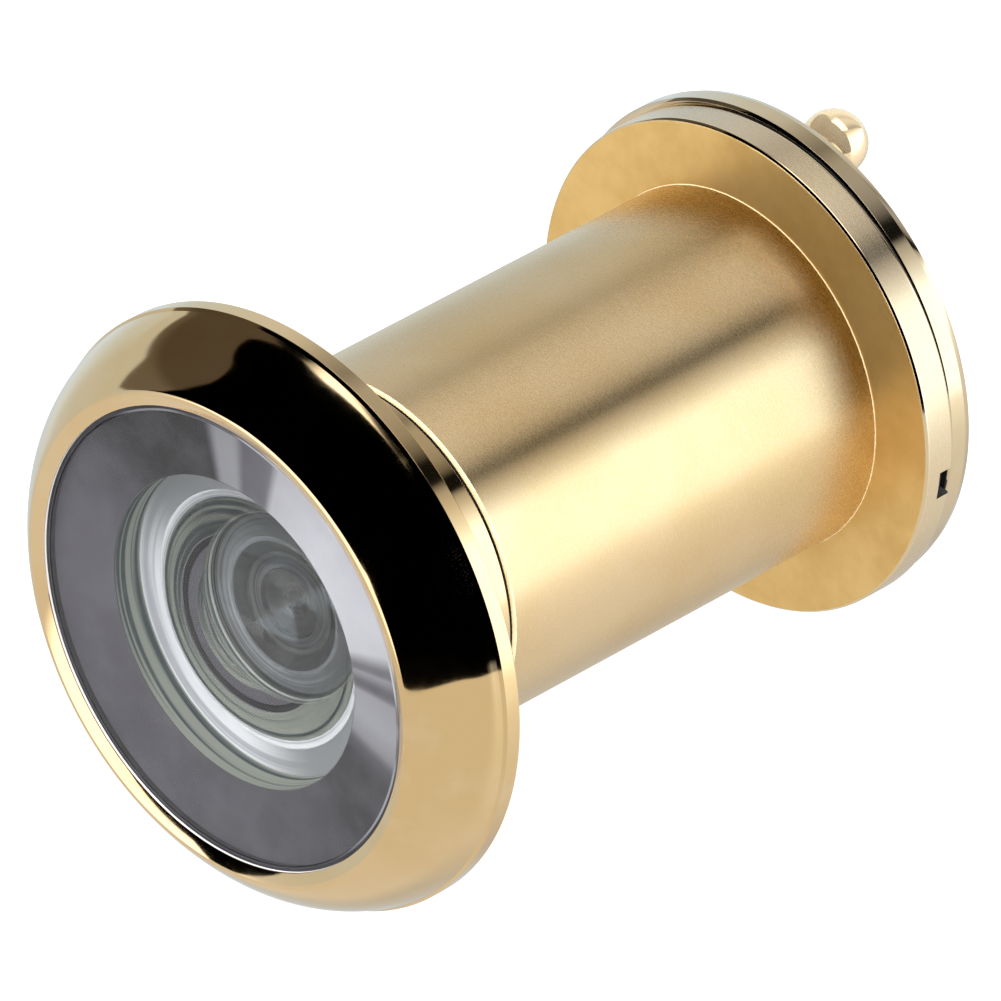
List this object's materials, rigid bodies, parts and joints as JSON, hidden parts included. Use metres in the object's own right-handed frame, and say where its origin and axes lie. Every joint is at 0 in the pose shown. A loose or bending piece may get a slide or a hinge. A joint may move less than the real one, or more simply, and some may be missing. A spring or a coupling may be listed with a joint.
{
  "type": "door viewer",
  "caption": "Wide-angle door viewer: a glass-fronted bezel on a threaded tube screws into a flanged indoor sleeve with a swinging privacy cover and ball knob.",
  "frame": {"origin": "on the viewer's axis, in the plane where the bezel's back meets the outdoor face of the door", "axes": "+Y along the axis from the outdoor lens to the indoor cover, +Z from the axis to the cover's knob, +X to the side of one spanner notch"},
  "size_m": [0.0456, 0.0638, 0.0456],
  "materials": {
    "polished_brass": "mirror-polished light gold brass",
    "satin_brass": "satin brass with fine turned lines round the axis",
    "lens_glass": "polished optical glass",
    "black_rubber": "matte black moulded rubber",
    "black_metal": "matte black anodised",
    "spring_steel": "plain rolled steel"
  },
  "bodies": {
    "outdoor_half": {"outer_housing": "polished_brass", "front_gasket": "black_rubber", "front_lens": "lens_glass", "front_spacer": "black_metal", "second_lens": "lens_glass", "middle_spacer": "black_metal", "third_lens": "lens_glass", "lens_clamp_ring": "black_metal"},
    "indoor_half": {"indoor_sleeve": "satin_brass", "eyepiece_lens": "lens_glass", "eyepiece_spacer": "black_metal", "eyepiece_clamp_ring": "black_metal", "pivot_pin": "polished_brass", "friction_washer": "spring_steel", "wave_washer": "spring_steel"},
    "privacy_cover": {"cover_plate": "polished_brass", "cover_knob": "polished_brass"}
  },
  "joints": [
    {"name": "sleeve_screw", "type": "slide", "parent": "outdoor_half", "child": "indoor_half", "axis": [0, 1, 0], "range_m": [0, 0.045]},
    {"name": "cover_pivot", "type": "hinge", "parent": "indoor_half", "child": "privacy_cover", "pos_m": [0, 0.0487, -0.0156], "axis": [0, 1, 0], "continuous": true}
  ]
}
